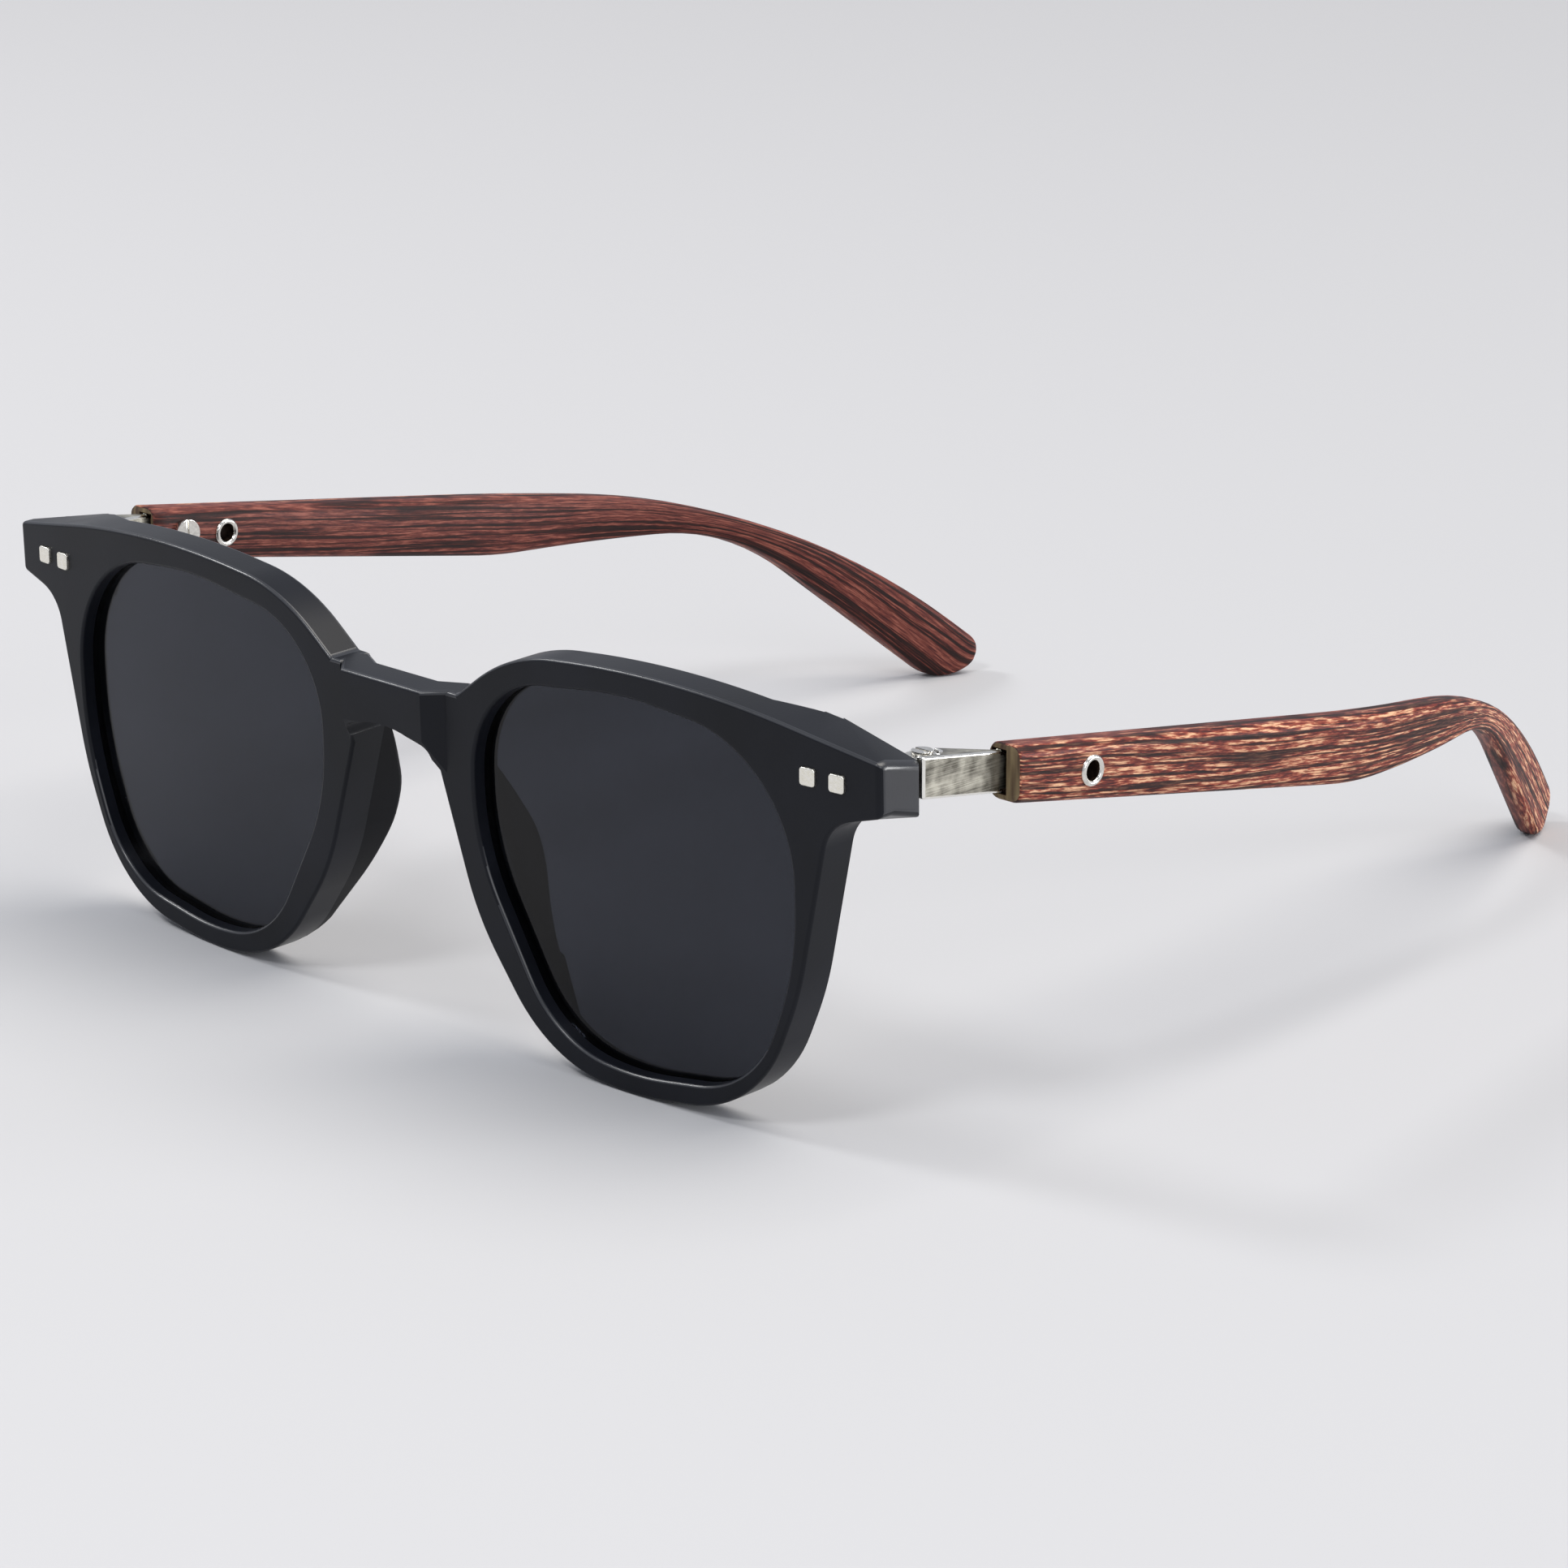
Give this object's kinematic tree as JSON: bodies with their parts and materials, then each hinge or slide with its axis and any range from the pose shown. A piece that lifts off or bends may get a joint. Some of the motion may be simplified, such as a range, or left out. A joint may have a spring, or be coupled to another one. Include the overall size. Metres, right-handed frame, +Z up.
{
  "type": "sunglasses",
  "caption": "Keyhole-bridge sunglasses with a matte plastic front, smoke lenses and folding wooden temples on metal hinge bars.",
  "frame": {"origin": "on the floor, below the middle of the part's width and depth with the temples open", "axes": "+Z up; -Y is the way the wearer looks, so the front faces -Y and the temples run to +Y; +X is the wearer's left"},
  "size_m": [0.15, 0.1534, 0.0493],
  "materials": {
    "front_plastic": "matte moulded",
    "pad_plastic": "matte moulded",
    "lens": "smoke tint, polished",
    "rivet_metal": "polished",
    "hinge_metal": "satin",
    "bar_metal": "brushed lengthwise",
    "wood": "oiled, streaked grain",
    "eyelet_metal": "polished nickel"
  },
  "bodies": {
    "front": {"front_frame": "front_plastic", "nose_pad_left": "pad_plastic", "nose_pad_right": "pad_plastic", "lens_left": "lens", "lens_right": "lens", "rivet_left_outer": "rivet_metal", "rivet_left_inner": "rivet_metal", "rivet_right_outer": "rivet_metal", "rivet_right_inner": "rivet_metal", "hinge_leaf_left": "hinge_metal", "hinge_leaf_right": "hinge_metal", "hinge_screw_left": "hinge_metal", "hinge_screw_right": "hinge_metal"},
    "left_temple": {"temple_bar_left": "bar_metal", "temple_left": "wood", "eyelet_left": "eyelet_metal", "tang_screw_left": "eyelet_metal"},
    "right_temple": {"temple_bar_right": "bar_metal", "temple_right": "wood", "eyelet_right": "eyelet_metal", "tang_screw_right": "eyelet_metal"}
  },
  "joints": [
    {"name": "temple_left_fold", "type": "hinge", "parent": "front", "child": "left_temple", "pos_m": [0.06878, -0.06113, 0.04209], "axis": [0, 0, 1], "range_deg": [0, 84]},
    {"name": "temple_right_fold", "type": "hinge", "parent": "front", "child": "right_temple", "pos_m": [-0.06878, -0.06113, 0.04209], "axis": [0, 0, -1], "range_deg": [0, 77]}
  ]
}
